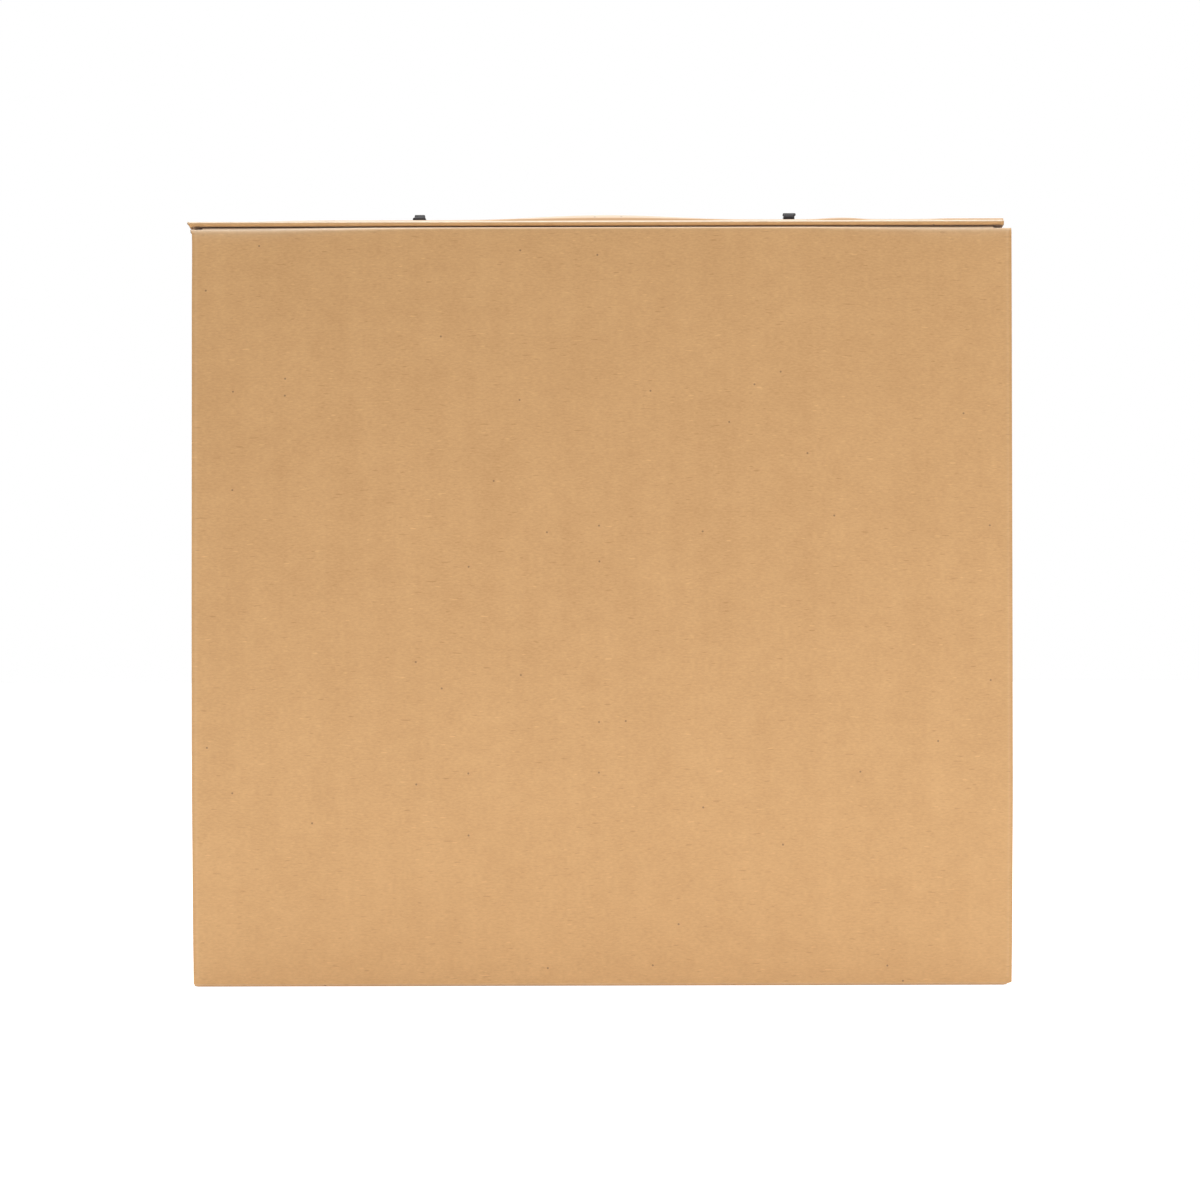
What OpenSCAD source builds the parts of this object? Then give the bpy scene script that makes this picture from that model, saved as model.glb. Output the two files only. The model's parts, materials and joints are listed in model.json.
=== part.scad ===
// Kraft carry case: one folded sheet of corrugated board with a lid that tucks in
// under its double top wall, and a folding black handle held by two snap-in clips.
// Frame: X across the width, Y from the lid's face to the back, Z up, millimetres.
// The origin is the middle of the base, where the closed case stands.

/* [Board] */
// Thickness of the corrugated board
board_t = 1.2; // [0.8:0.1:1.6]
// Gap between two boards that lie against each other
ply_gap = 0.1; // [0.05:0.05:0.2]

/* [Case] */
// Width over the two side walls
case_w = 328; // [260:1:480]
// Depth from the lid's face to the back
case_d = 100; // [100:1:180]
// Height to the flat of the top wall
case_h = 308.5; // [200:0.5:450]
// Length of the corner tabs held inside the double side walls
corner_tab = 48; // [20:1:80]
// Length of each locking tab that shows in the back
lock_tab = 30; // [15:1:45]
// How far each locking tab is from the middle of its wall
lock_reach = 88; // [60:1:90]
// Gap round a locking tab in its slot
lock_gap = 0.4; // [0.2:0.1:0.8]

/* [Top wall] */
// How far the top wall reaches past each side wall
top_over = 0.5; // [0:0.1:1.5]
// How far the front edge of the top wall has slipped to the left
top_slip = 1.85; // [0:0.05:3]
// How far the top wall's front edge stands behind the lid's face
top_setback = 0.6; // [0.4:0.1:1]
// Outer radius of the rolled front edge
roll_r = 1.1; // [0.8:0.1:1.2]

/* [Bulge] */
// Rise of the outer layer between the two clips
bulge_h = 2.9; // [0:0.1:3.5]
// Left end of that rise
bulge_left = -52; // [-60:1:-40]
// Right end of that rise
bulge_right = 57; // [40:1:60]
// Rise of the outer layer near the right end
ripple_h = 0.9; // [0:0.1:1.5]
// Start of that second rise
ripple_left = 91; // [90:1:100]
// Crest of that second rise
ripple_top = 110; // [104:1:118]
// End of that second rise
ripple_right = 160; // [125:1:160]
// Distance from the front edge to the crest of both rises
crest_y = 9; // [7:1:14]
// Distance from the front edge to where both rises die out
fade_y = 56; // [30:1:60]

/* [Lid] */
// How far the lid reaches past the left side wall
lid_over_left = 0.1; // [0:0.05:1]
// How far the lid reaches past the right side wall
lid_over_right = 2.35; // [0:0.05:3]
// Gap between the lid's inner face and the walls' front edges
rim_gap = 0.3; // [0.3:0.1:1]
// Gap between the lid's top fold and the top wall
lid_gap = 0.6; // [0.5:0.1:1.2]
// Outer radius of the lid's top fold
fold_r = 2.4; // [1.8:0.1:4]
// Length of the tuck flap behind the fold
flap_len = 33; // [20:1:34]
// Slope of the tuck flap, down from the fold
flap_slope = 3.5; // [3.4:0.1:6]
// Gap between each end of the tuck flap and the side wall
flap_gap = 1; // [0.5:0.1:4]
// Corner radius of the tuck flap
flap_corner = 9; // [4:1:15]

/* [Clips] */
// Distance between the middles of the two clips
clip_span = 153; // [140:1:170]
// How far the pair of clips stands right of the middle
clip_offset = 2.3; // [0:0.1:4]
// Width of a clip's ear across the case
ear_w = 4.6; // [4:0.1:7]
// Radius of the ear's round top
ear_r = 3.6; // [3.2:0.1:4]
// Height of the ear above the top wall
ear_h = 7; // [6.8:0.1:9]
// Extra height of the right clip's ear
ear_extra = 0.4; // [0:0.1:1]
// Depth of the groove under the ear's cap
groove_in = 0.25; // [0:0.05:0.5]
// Height of that groove
groove_h = 0.5; // [0.3:0.1:1]
// Height of the ear's cap above the groove
cap_h = 1; // [0.6:0.1:1.4]
// Thickness of the clip's flange on the board
flange_t = 0.8; // [0.6:0.1:1]
// Width of the flange across the case
flange_w = 6.6; // [6:0.1:9]
// Length of the flange from front to back
flange_l = 15; // [13:1:18]
// Thickness of the clip's leg
leg_w = 2.6; // [2:0.1:3.4]
// Length of the leg from front to back
leg_l = 9; // [6:1:11]
// Width of the barbs under the board
barb_w = 5.2; // [4.4:0.1:7]
// Height of the barbs
barb_h = 3.2; // [2:0.1:5]
// Width of the split that lets the barbs close
split_w = 0.8; // [0.4:0.1:1.2]
// Gap between a leg and its slot in the board
leg_gap = 0.2; // [0.1:0.05:0.5]

/* [Handle] */
// Height of the pivot above the top wall
pivot_h = 2.75; // [2.7:0.05:3.2]
// Diameter of the handle's pins
pin_d = 2.6; // [2:0.1:2.8]
// Gap all round a pin in its bore
pin_gap = 0.08; // [0.05:0.01:0.1]
// Width of each arm across the case
arm_w = 4; // [3:0.1:6]
// Thickness of each arm
arm_t = 3.9; // [3:0.1:4]
// Gap between an arm and its ear
arm_gap = 0.3; // [0.3:0.1:1]
// Reach of the handle from its pivot
reach = 46; // [38:1:46]
// Width of the grip
grip_w = 13; // [9:0.5:16]
// Thickness of the grip
grip_t = 5; // [4:0.1:5.4]
// Corner radius inside the handle's loop
loop_r = 6; // [3:0.5:10]
// Corner radius outside the handle's loop
bend_r = 12; // [8:0.5:16]
// How far the handle's grip is lifted as it lies at the back, in degrees
lie_angle = 2; // [2:0.5:5]

/* [Hidden] */
kraft = "#d4a878";
black = "#1d1b1e";
smooth = 64;
front = -case_d / 2;
back = case_d / 2;
side = case_w / 2;
// Front edges of the side walls and of the bottom wall
rim = front + board_t + rim_gap;
// Outer face of the top wall's rolled edge
roll_front = front + top_setback;
// Underside of the double top wall
top_under = case_h - 2 * board_t - ply_gap;
lid_top = top_under - lid_gap;
// Height midway between a side wall's two locking tabs
lock_z = case_h / 2;
// Thickness of a double side wall with a corner tab inside it
side_t = 3 * board_t + 2 * ply_gap;
side_in = side - side_t;
lid_left = -side - lid_over_left;
lid_right = side + lid_over_right;
flap_end = side_in - flap_gap;
clip_left = clip_offset - clip_span / 2;
clip_right = clip_offset + clip_span / 2;
pivot_z = case_h + pivot_h;
// The arms stand inside the two ears
arm_out_left = clip_left + ear_w / 2 + arm_gap;
arm_out_right = clip_right - ear_w / 2 - arm_gap;
loop_in = reach - grip_w;
// Stations of the top wall's surface, across the case and from back to front
bulge_columns = 44;
bulge_rows = 12;

// Smooth hump from 0 at a over 1 at m to 0 at b
function ramp(t) = (1 - cos(180 * max(0, min(1, t)))) / 2;
function hump(x, a, m, b) = x <= m ? ramp((x - a) / (m - a)) : ramp((b - x) / (b - m));

// Rise of the top wall's outer layer at x, and d behind the front edge
function rise(x, d) =
    (bulge_h * hump(x, bulge_left, (bulge_left + bulge_right) / 2, bulge_right)
    + ripple_h * hump(x, ripple_left, ripple_top, ripple_right)) * hump(d, 0, crest_y, fade_y);

// Slip of the top wall to the left at depth y, none at the back fold
function slip(y) = -top_slip * (back - y) / (back - roll_front);

// A drawing in Y and Z, carried along X from x0 to x1
module along_x(x0, x1) {
    translate([x0, 0, 0])
        rotate([90, 0, 90])
            linear_extrude(x1 - x0)
                children();
}

module block(x, y, z) {
    translate([x[0], y[0], z[0]])
        cube([x[1] - x[0], y[1] - y[0], z[1] - z[0]]);
}

// Section of the top wall at x: outer layer, rolled front edge and inner layer in one sheet
function top_section(x) =
    let (rows = [for (k = [0 : bulge_rows]) back - (back - roll_front - roll_r) * pow(k / bulge_rows, 0.6)],
         inner = roll_front + board_t)
    concat(
        [for (y = rows) [y, case_h + rise(x, y - roll_front - roll_r)]],
        [for (a = [112.5 : 22.5 : 180]) [roll_front + roll_r + roll_r * cos(a), case_h - roll_r + roll_r * sin(a)]],
        [for (a = [180 : 22.5 : 270]) [roll_front + roll_r + roll_r * cos(a), top_under + roll_r + roll_r * sin(a)]],
        [[back - board_t - ply_gap, top_under]],
        [[back - board_t - ply_gap, top_under + board_t]],
        [[inner, top_under + board_t]],
        [[inner, case_h - board_t]],
        [for (k = [bulge_rows - 1 : -1 : 0]) [rows[k], case_h - board_t + rise(x, rows[k] - roll_front - roll_r)]]
    );

// Triangles that close one end of the top wall, from the section's point numbers
function end_faces(n) =
    let (r = bulge_rows, upper = r + 13, lower = r + 12)
    concat(
        [for (k = [0 : r - 1]) each [[k, k + 1, n - 2 - k], [k, n - 2 - k, n - 1 - k]]],
        [for (k = [r : r + 3]) [k, k + 1, upper]],
        [[r + 4, r + 5, lower], [r + 4, lower, upper]],
        [for (k = [r + 5 : r + 8]) [k, k + 1, lower]],
        [[r + 9, r + 10, r + 11], [r + 9, r + 11, lower]]
    );

// The top wall: its section carried across the case, with both ends closed
module top_wall() {
    sections = [for (i = [0 : bulge_columns])
        let (x = -side - top_over + (case_w + 2 * top_over) * i / bulge_columns)
        [for (p = top_section(x)) [x + slip(p[0]), p[0], p[1]]]];
    n = len(sections[0]);
    skin = [for (i = [0 : bulge_columns - 1], k = [0 : n - 1])
        let (a = i * n + k, b = i * n + (k + 1) % n)
        each [[a, a + n, b], [b, a + n, b + n]]];
    left_end = end_faces(n);
    right_end = [for (f = end_faces(n)) [for (k = [2 : -1 : 0]) f[k] + bulge_columns * n]];
    polyhedron([for (s = sections) each s], concat(skin, left_end, right_end), convexity = 6);
}

// Plan of the right side wall: two layers rolled into one round front edge
module side_plan() {
    r = side_t / 2;
    difference() {
        union() {
            translate([side_in, rim + r])
                square([side_t, back - rim - r]);
            translate([side_in + r, rim + r])
                circle(r, $fn = smooth);
        }
        translate([side_in + board_t, rim + r])
            square([board_t + 2 * ply_gap, back - board_t - rim - r]);
        translate([side_in + r, rim + r])
            circle(r - board_t, $fn = smooth);
    }
}

module side_wall() {
    roll = side_t / 2;
    tab_x = [side - 2 * board_t - ply_gap, side - board_t - ply_gap];
    tab_y = [rim + roll, back - board_t];
    linear_extrude(top_under - ply_gap)
        side_plan();
    block(tab_x, tab_y, [board_t / 2, corner_tab]);
    block(tab_x, tab_y, [top_under - corner_tab, top_under + board_t / 2]);
}

// Slots in the back that take the locking tabs, with a gap, and the tabs, with none
module lock_top(gap) {
    for (s = [-1, 1])
        block([s * lock_reach - lock_tab / 2 - gap, s * lock_reach + lock_tab / 2 + gap],
              [back - board_t - 2 * lock_gap + gap, back - ply_gap + gap],
              [top_under - gap / 2, top_under + board_t + gap / 2]);
}

module lock_side(gap) {
    for (s = [-1, 1])
        block([side_in - gap / 2, side_in + board_t + gap / 2],
              [back - board_t - 2 * lock_gap + gap, back - ply_gap + gap],
              [lock_z + s * lock_reach - lock_tab / 2 - gap, lock_z + s * lock_reach + lock_tab / 2 + gap]);
}

module sides() {
    children();
    mirror([1, 0, 0])
        children();
}

// Slots in both layers of the top wall for the clips' legs
module leg_slots() {
    for (x = [clip_left, clip_right])
        block([x - leg_w / 2 - leg_gap, x + leg_w / 2 + leg_gap],
              [-leg_l / 2 - leg_gap, leg_l / 2 + leg_gap],
              [top_under - board_t, case_h + board_t]);
}

module case() {
    color(kraft)
        difference() {
            union() {
                difference() {
                    union() {
                        block([-side, side], [back - board_t, back], [0, case_h]);
                        sides() side_wall();
                    }
                    sides() lock_side(lock_gap);
                    lock_top(lock_gap);
                }
                block([-side, side], [rim, back], [0, board_t]);
                sides() lock_side(0);
                lock_top(0);
                top_wall();
            }
            leg_slots();
        }
}

// Section of the lid in Y and Z: panel, round top fold and tuck flap
module lid_section(tail) {
    translate([front, 0])
        square([board_t, lid_top - fold_r]);
    translate([front + fold_r, lid_top - fold_r]) {
        intersection() {
            difference() {
                circle(fold_r, $fn = smooth);
                circle(fold_r - board_t, $fn = smooth);
            }
            polygon([[0, 0], [-fold_r, 0], [-2 * fold_r, 2 * fold_r], [0, 2 * fold_r],
                     2 * fold_r * [sin(flap_slope), cos(flap_slope)]]);
        }
        rotate(-flap_slope)
            translate([0, fold_r - board_t])
                square([tail, board_t]);
    }
}

module lid() {
    color(kraft) {
        along_x(lid_left, lid_right)
            intersection() {
                lid_section(fold_r);
                translate([front, 0])
                    square([board_t, case_h]);
            }
        intersection() {
            along_x(-flap_end, flap_end)
                lid_section(flap_len);
            linear_extrude(case_h)
                flap_plan();
        }
    }
}

// Plan of the lid's flap, with its free corners rounded
module flap_plan() {
    tip = front + fold_r + flap_len;
    translate([-flap_end, front])
        square([2 * flap_end, fold_r + flap_len - flap_corner]);
    translate([-flap_end + flap_corner, front])
        square([2 * (flap_end - flap_corner), fold_r + flap_len]);
    for (s = [-1, 1])
        translate([s * (flap_end - flap_corner), tip - flap_corner])
            circle(flap_corner, $fn = smooth);
}

// One clip at x: an ear with a bore, a cap above a groove, a flange and a barbed, split leg
module clip(x, extra) {
    ear_top = case_h + ear_h + extra;
    groove_top = ear_top - cap_h;
    barb_top = top_under - ply_gap;
    color(black)
        difference() {
            union() {
                along_x(x - ear_w / 2, x + ear_w / 2)
                    intersection() {
                        union() {
                            translate([0, ear_top - ear_r])
                                circle(ear_r, $fn = smooth);
                            translate([-ear_r, case_h])
                                square([2 * ear_r, ear_h + extra - ear_r]);
                        }
                        translate([-2 * ear_r, case_h])
                            square([4 * ear_r, 2 * ear_h]);
                    }
                block([x - flange_w / 2, x + flange_w / 2], [-flange_l / 2, flange_l / 2],
                      [case_h, case_h + flange_t]);
                block([x - leg_w / 2, x + leg_w / 2], [-leg_l / 2, leg_l / 2],
                      [barb_top - barb_h, case_h + flange_t]);
                translate([x, leg_l / 2, barb_top])
                    rotate([90, 0, 0])
                        linear_extrude(leg_l)
                            polygon([[-barb_w / 2, 0], [barb_w / 2, 0],
                                     [leg_w / 2, -barb_h], [-leg_w / 2, -barb_h]]);
            }
            for (s = [-1, 1])
                translate([x + s * ear_w / 2, 0, groove_top - groove_h / 2])
                    cube([2 * groove_in, 4 * ear_r, groove_h], center = true);
            along_x(x - ear_w, x + ear_w)
                translate([0, pivot_z])
                    circle(d = pin_d + 2 * pin_gap, $fn = smooth);
            block([x - split_w / 2, x + split_w / 2], [-leg_l, leg_l], [top_under - 2 * barb_h, top_under]);
        }
}

module clip_left() {
    clip(clip_left, 0);
}

module clip_right() {
    clip(clip_right, ear_extra);
}

// Plan of the handle, pivot line on X: grip, two arms and round bends
module handle_plan() {
    x0 = arm_out_left;
    x1 = arm_out_right;
    difference() {
        union() {
            translate([x0, 0])
                square([x1 - x0, reach - bend_r]);
            translate([x0 + bend_r, 0])
                square([x1 - x0 - 2 * bend_r, reach]);
            for (x = [x0 + bend_r, x1 - bend_r])
                translate([x, reach - bend_r])
                    circle(bend_r, $fn = smooth);
        }
        translate([x0 + arm_w, -1])
            square([x1 - x0 - 2 * arm_w, loop_in - loop_r + 1]);
        translate([x0 + arm_w + loop_r, -1])
            square([x1 - x0 - 2 * (arm_w + loop_r), loop_in + 1]);
        for (x = [x0 + arm_w + loop_r, x1 - arm_w - loop_r])
            translate([x, loop_in - loop_r])
                circle(loop_r, $fn = smooth);
    }
}

module handle() {
    color(black)
        translate([0, 0, pivot_z])
            rotate([lie_angle, 0, 0]) {
                translate([0, 0, -arm_t / 2])
                    linear_extrude(arm_t)
                        handle_plan();
                grip();
                for (x = [arm_out_left, arm_out_right - arm_w])
                    along_x(x, x + arm_w)
                        circle(d = arm_t, $fn = smooth);
                along_x(clip_left - ear_w / 2, arm_out_left + arm_w / 2)
                    circle(d = pin_d, $fn = smooth);
                along_x(arm_out_right - arm_w / 2, clip_right + ear_w / 2)
                    circle(d = pin_d, $fn = smooth);
            }
}

// The swell of the grip: a flat bar with round long edges
module grip() {
    edge = grip_t / 2;
    along_x(arm_out_left + bend_r, arm_out_right - bend_r) {
        translate([loop_in + edge, -edge])
            square([grip_w - grip_t, grip_t]);
        for (y = [loop_in + edge, reach - edge])
            translate([y, 0])
                circle(edge, $fn = smooth);
    }
}

case();
lid();
handle();
clip_left();
clip_right();
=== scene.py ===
# %% [markdown]
# # A kraft carry case with a folding handle
#
# The real thing is one sheet of micro-flute corrugated board, creased and folded into an upright case.
# Its lid hangs on the bottom front fold and tucks in under a double top wall, and a black plastic
# handle turns in two clips on top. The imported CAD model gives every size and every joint, so this
# script loads it first and then only gives it a better skin, in the same place.

# %% Load the frame
import json
import math

import bpy
import numpy as np
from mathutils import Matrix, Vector


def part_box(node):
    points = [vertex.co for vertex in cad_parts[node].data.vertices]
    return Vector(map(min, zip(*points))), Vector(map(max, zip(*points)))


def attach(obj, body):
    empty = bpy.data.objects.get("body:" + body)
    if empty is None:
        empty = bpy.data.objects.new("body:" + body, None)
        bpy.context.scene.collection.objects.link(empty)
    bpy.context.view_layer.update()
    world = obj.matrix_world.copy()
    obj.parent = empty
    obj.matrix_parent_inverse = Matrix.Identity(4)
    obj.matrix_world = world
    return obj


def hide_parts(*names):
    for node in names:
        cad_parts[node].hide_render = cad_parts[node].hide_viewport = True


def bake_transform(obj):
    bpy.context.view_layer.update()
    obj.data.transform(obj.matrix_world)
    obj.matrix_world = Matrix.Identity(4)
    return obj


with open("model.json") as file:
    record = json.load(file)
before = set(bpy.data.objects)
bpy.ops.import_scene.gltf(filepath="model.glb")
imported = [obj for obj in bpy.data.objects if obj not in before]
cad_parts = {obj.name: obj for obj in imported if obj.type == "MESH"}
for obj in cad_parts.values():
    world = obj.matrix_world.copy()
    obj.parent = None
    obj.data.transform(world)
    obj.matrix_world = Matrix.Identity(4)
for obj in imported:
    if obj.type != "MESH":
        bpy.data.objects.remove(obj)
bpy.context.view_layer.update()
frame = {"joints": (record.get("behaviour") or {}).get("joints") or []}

MM = 0.001

# %% [markdown]
# ## Sizes that everything shares
#
# The outer box of each CAD node and the two joints fix almost every size. Only what a box can't
# tell, such as the thickness of the board or the radius of a fold, is written down here, with the
# values that the CAD source uses.

# %% Sizes from the frame
case_low, case_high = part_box("case")
lid_low, lid_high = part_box("lid")
clip_boxes = {name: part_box(name) for name in ("clip_left", "clip_right")}
joints = {j["name"]: j for j in frame["joints"]}
pivot = Vector(joints["handle_swing"]["pos_m"])

BOARD = 1.2 * MM
PLY_GAP = 0.1 * MM
FRONT, BACK = lid_low.y, case_high.y
TOP = pivot.z - 2.75 * MM
UNDER = TOP - 2 * BOARD - PLY_GAP
LID_TOP = lid_high.z + 0.5 * MM
SIDE = 164 * MM
SIDE_IN = SIDE - 3 * BOARD - 2 * PLY_GAP
RIM = FRONT + BOARD + 0.3 * MM
ROLL_FRONT = FRONT + 0.6 * MM
ROLL_R = 1.1 * MM
CREASE_Y, CREASE_Z = FRONT + 4 * MM, 3 * MM
print("top wall at", round(TOP / MM, 2), "mm, lid top at", round(LID_TOP / MM, 2), "mm")

# %% [markdown]
# ## How a folded sheet becomes a mesh
#
# A folded board is a surface of two parameters: one runs across the sheet, the other follows its
# section round the folds. Solidify could give such a surface its thickness, but it has no say over
# slots, tabs and cut edges. So the outer and the inner face are two grids of points, a mask says
# which cells are board, and a wall is added wherever board meets no board.

# %% A board from two grids and a mask
def board_mesh(name, outer, inner, keep, across, along, painted_light_and_tone=0):
    """Outer and inner are (nu, nv, 3) grids, keep marks the (nu-1, nv-1) cells that are board.

    A kept cell gives one face on each grid. The edge between a kept cell and an empty one gives a
    wall face between the grids. Corners carry two UV maps: sheet, the place on the unfolded sheet,
    and cut, the distance along a cut edge and the depth into the board. Points carry an attribute of
    painted light and tone: above 0 for painted highlights and paler folds, below 0 for painted shade
    and shadow and for darker cut edges.
    """
    nu, nv = outer.shape[:2]
    count = nu * nv
    index = np.arange(count).reshape(nu, nv)
    cells = np.stack([index[:-1, :-1], index[1:, :-1], index[1:, 1:], index[:-1, 1:]], -1)[keep]
    padded = np.pad(keep, 1)
    above, below = padded[1:-1, 1:], padded[1:-1, :-1]
    right, left = padded[1:, 1:-1], padded[:-1, 1:-1]
    p, q = index[:-1, :], index[1:, :]
    r, s = index[:, :-1], index[:, 1:]

    def wall(where, a, b):
        a, b = a[where], b[where]
        return np.stack([a, b, b + count, a + count], -1)

    ends = np.concatenate([wall(above & ~below, q, p), wall(below & ~above, p, q)])
    sides = np.concatenate([wall(right & ~left, r, s), wall(left & ~right, s, r)])
    faces = np.concatenate([cells, cells[:, ::-1] + count, ends, sides])
    kind = np.repeat([0, 0, 1, 2], [len(cells), len(cells), len(ends), len(sides)])

    corner = faces.ravel()
    u, v = across[corner % count // nv], along[corner % nv]
    inside = corner >= count
    sheet = np.stack([u + 0.5 * inside, v], -1)
    cut = np.stack([np.where(np.repeat(kind, 4) == 1, u, v), BOARD * inside], -1)

    used, packed = np.unique(corner, return_inverse=True)
    points = np.concatenate([outer.reshape(-1, 3), inner.reshape(-1, 3)])[used]
    mesh = bpy.data.meshes.new(name)
    mesh.from_pydata(points.tolist(), [], packed.reshape(-1, 4).tolist())
    mesh.polygons.foreach_set("material_index", kind.astype(np.int32))
    for layer, values in (("sheet", sheet), ("cut", cut)):
        mesh.uv_layers.new(name=layer).data.foreach_set("uv", values.astype(np.float32).ravel())
    both = np.concatenate([(np.zeros((nu, nv)) + painted_light_and_tone).ravel(), np.zeros(count)])[used]
    mesh.attributes.new("painted_light_and_tone", "FLOAT", "POINT").data.foreach_set("value", both.astype(np.float32))
    return finish_mesh(name, mesh)


def finish_mesh(name, mesh, sharp=35):
    """Links the mesh, shades it smooth and keeps the edges that turn by more than sharp degrees."""
    mesh.polygons.foreach_set("use_smooth", np.ones(len(mesh.polygons), bool))
    mesh.update()
    mesh.set_sharp_from_angle(angle=math.radians(sharp))
    thing = bpy.data.objects.new(name, mesh)
    bpy.context.scene.collection.objects.link(thing)
    print(name, len(mesh.vertices), "points", len(mesh.polygons), "faces")
    return thing


# %% [markdown]
# ## Sections made of straights and bends
#
# A section is walked in pieces, as a folding machine would: a straight panel, a bend, the next
# panel. Each piece knows its points and which way is out, and the label of a piece later says what
# may be cut out of it.

# %% Pieces of a section
def straight(start, end, out, count=2, stops=()):
    """Points from start to end, evenly spaced plus the stops given as distances from start."""
    start, end = np.array(start, float), np.array(end, float)
    length = np.linalg.norm(end - start)
    t = np.unique(np.round(np.concatenate([np.linspace(0, length, count), stops]), 9))
    return start + (end - start) * t[:, None] / length, np.tile(np.array(out, float), (len(t), 1))


def bend(centre, radius, first, last, count=7):
    """Points on an arc from the first to the last angle in degrees, out being away from its centre."""
    a = np.radians(np.linspace(first, last, count))
    out = np.stack([np.cos(a), np.sin(a)], -1)
    return np.array(centre) + radius * out, out


def walk(*pieces):
    """Joins pieces end to end: points, ways out, the label of each cell and the distance walked."""
    points = np.concatenate([pieces[0][0]] + [p[0][1:] for p in pieces[1:]])
    outs = np.concatenate([pieces[0][1]] + [p[1][1:] for p in pieces[1:]])
    label = np.repeat(np.arange(len(pieces)), [len(p[0]) - 1 for p in pieces])
    steps = np.linalg.norm(np.diff(points, axis=0), axis=1)
    return points, outs, label, np.concatenate([[0], np.cumsum(steps)])


def smooth(t):
    """Eases from 0 to 1 as t goes from 0 to 1: 3 t squared minus 2 t cubed."""
    t = np.clip(t, 0, 1)
    return t * t * (3 - 2 * t)


def hump(x, start, crest, end):
    """0 at start, 1 at the crest and 0 at the end, along two half waves of a cosine."""
    t = np.where(x <= crest, (x - start) / (crest - start), (end - x) / (end - crest))
    return (1 - np.cos(np.pi * np.clip(t, 0, 1))) / 2


# %% [markdown]
# ## The wrap: top wall, back and bottom
#
# On the real box the inner top layer, the rolled front edge, the outer top layer, the back and the
# bottom are one strip of the sheet, so they are one section carried across the case. The outer top
# layer has sprung up between the handle's clips and again near the right end. The whole top wall
# has slipped a little to the left at the front, where its corner is crushed. Each of these is a
# smooth function of the place on the flat fold, so it can be added to the section's points.

# %% Shape of the top wall
CREST = 8 * MM


def sprung(x):
    """Crest height of the sprung layer: two humps across the case and a step at its right end."""
    middle = 2.25 * MM * hump(x, -64 * MM, 2.5 * MM, 70 * MM)
    right = 1.1 * MM * hump(x, 80 * MM, 99 * MM, 114 * MM)
    step = 0.6 * MM * smooth((x - 128 * MM) / (14 * MM))
    return middle + right + step


def rise(x, behind):
    """Height of the outer layer: sprung times a hump from front to back, and a low lift at the roll."""
    lift = 0.75 * MM * smooth((x + 160 * MM) / (50 * MM))
    return sprung(x) * hump(behind, 0, CREST, 56 * MM) + lift * hump(behind, 0, 3 * MM, 40 * MM)


def slip(x, y):
    """How far the top wall has moved along X: none at the back, most at the front's left end."""
    at_front = (-1.33 + 0.27 * x / SIDE) * MM
    return at_front * (BACK - y) / (BACK - ROLL_FRONT)


def top_painted_light(x, behind, up):
    """Painted light on the top wall, from the distance behind the roll and how far the paper faces up.

    The rim of the roll gets a painted highlight where it faces up and painted shade where it faces
    forward and down. Where the layer has sprung, its foot gets painted shade and its crest a
    painted highlight, and elsewhere the foot gets a weaker painted highlight.
    """
    rim = (0.9 * smooth((up + 0.1) / 0.8) - 0.15) * (1 - smooth(behind / (1.4 * MM)))
    crest = smooth((behind - 2.6 * MM) / (1.8 * MM)) * (1 - smooth((behind - 7.5 * MM) / (3 * MM)))
    foot = hump(behind, 0.6 * MM, 1.8 * MM, 3.4 * MM)
    share = smooth(sprung(x) / (1.3 * MM))
    return rim + (0.6 * crest - 0.9 * foot) * share + 0.5 * foot * (1 - share)


# %% Folds, tabs and slots
FOLD = 1.3 * MM
LOCK_X, LOCK_HALF, LOCK_GAP = 88 * MM, 15 * MM, 0.4 * MM
LOCK_Z = TOP / 2
LOCK_END = BACK - BOARD - PLY_GAP
TAB_END = BACK - PLY_GAP
LEG_HALF_X, LEG_HALF_Y = 1.5 * MM, 4.7 * MM
SEAM = SIDE - 1.4 * MM
SIDE_TOP = UNDER - PLY_GAP
TOP_REACH = SIDE + 0.5 * MM
SIDE_SLOT = (SIDE_IN - 0.2 * MM, SIDE_IN + BOARD + 0.2 * MM)
SLOT_LOW, SLOT_HIGH = UNDER - 0.25 * MM, TOP - FOLD + 0.2 * MM
clip_x = [(low.x + high.x) / 2 for low, high in clip_boxes.values()]
leg_slots = [(x - slip(x, 0) - LEG_HALF_X, x - slip(x, 0) + LEG_HALF_X) for x in clip_x]
print("slots for the clips' legs at", [round(x / MM, 1) for x in clip_x], "mm")


def lock_ranges(centre, half):
    """The two stretches that locking tabs of this half length take, either side of centre."""
    return [(centre + s * LOCK_X - half, centre + s * LOCK_X + half) for s in (-1, 1)]


def within(values, ranges):
    """Marks the values that lie inside any of the ranges."""
    return np.any([(values > low) & (values < high) for low, high in ranges], axis=0)


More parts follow.
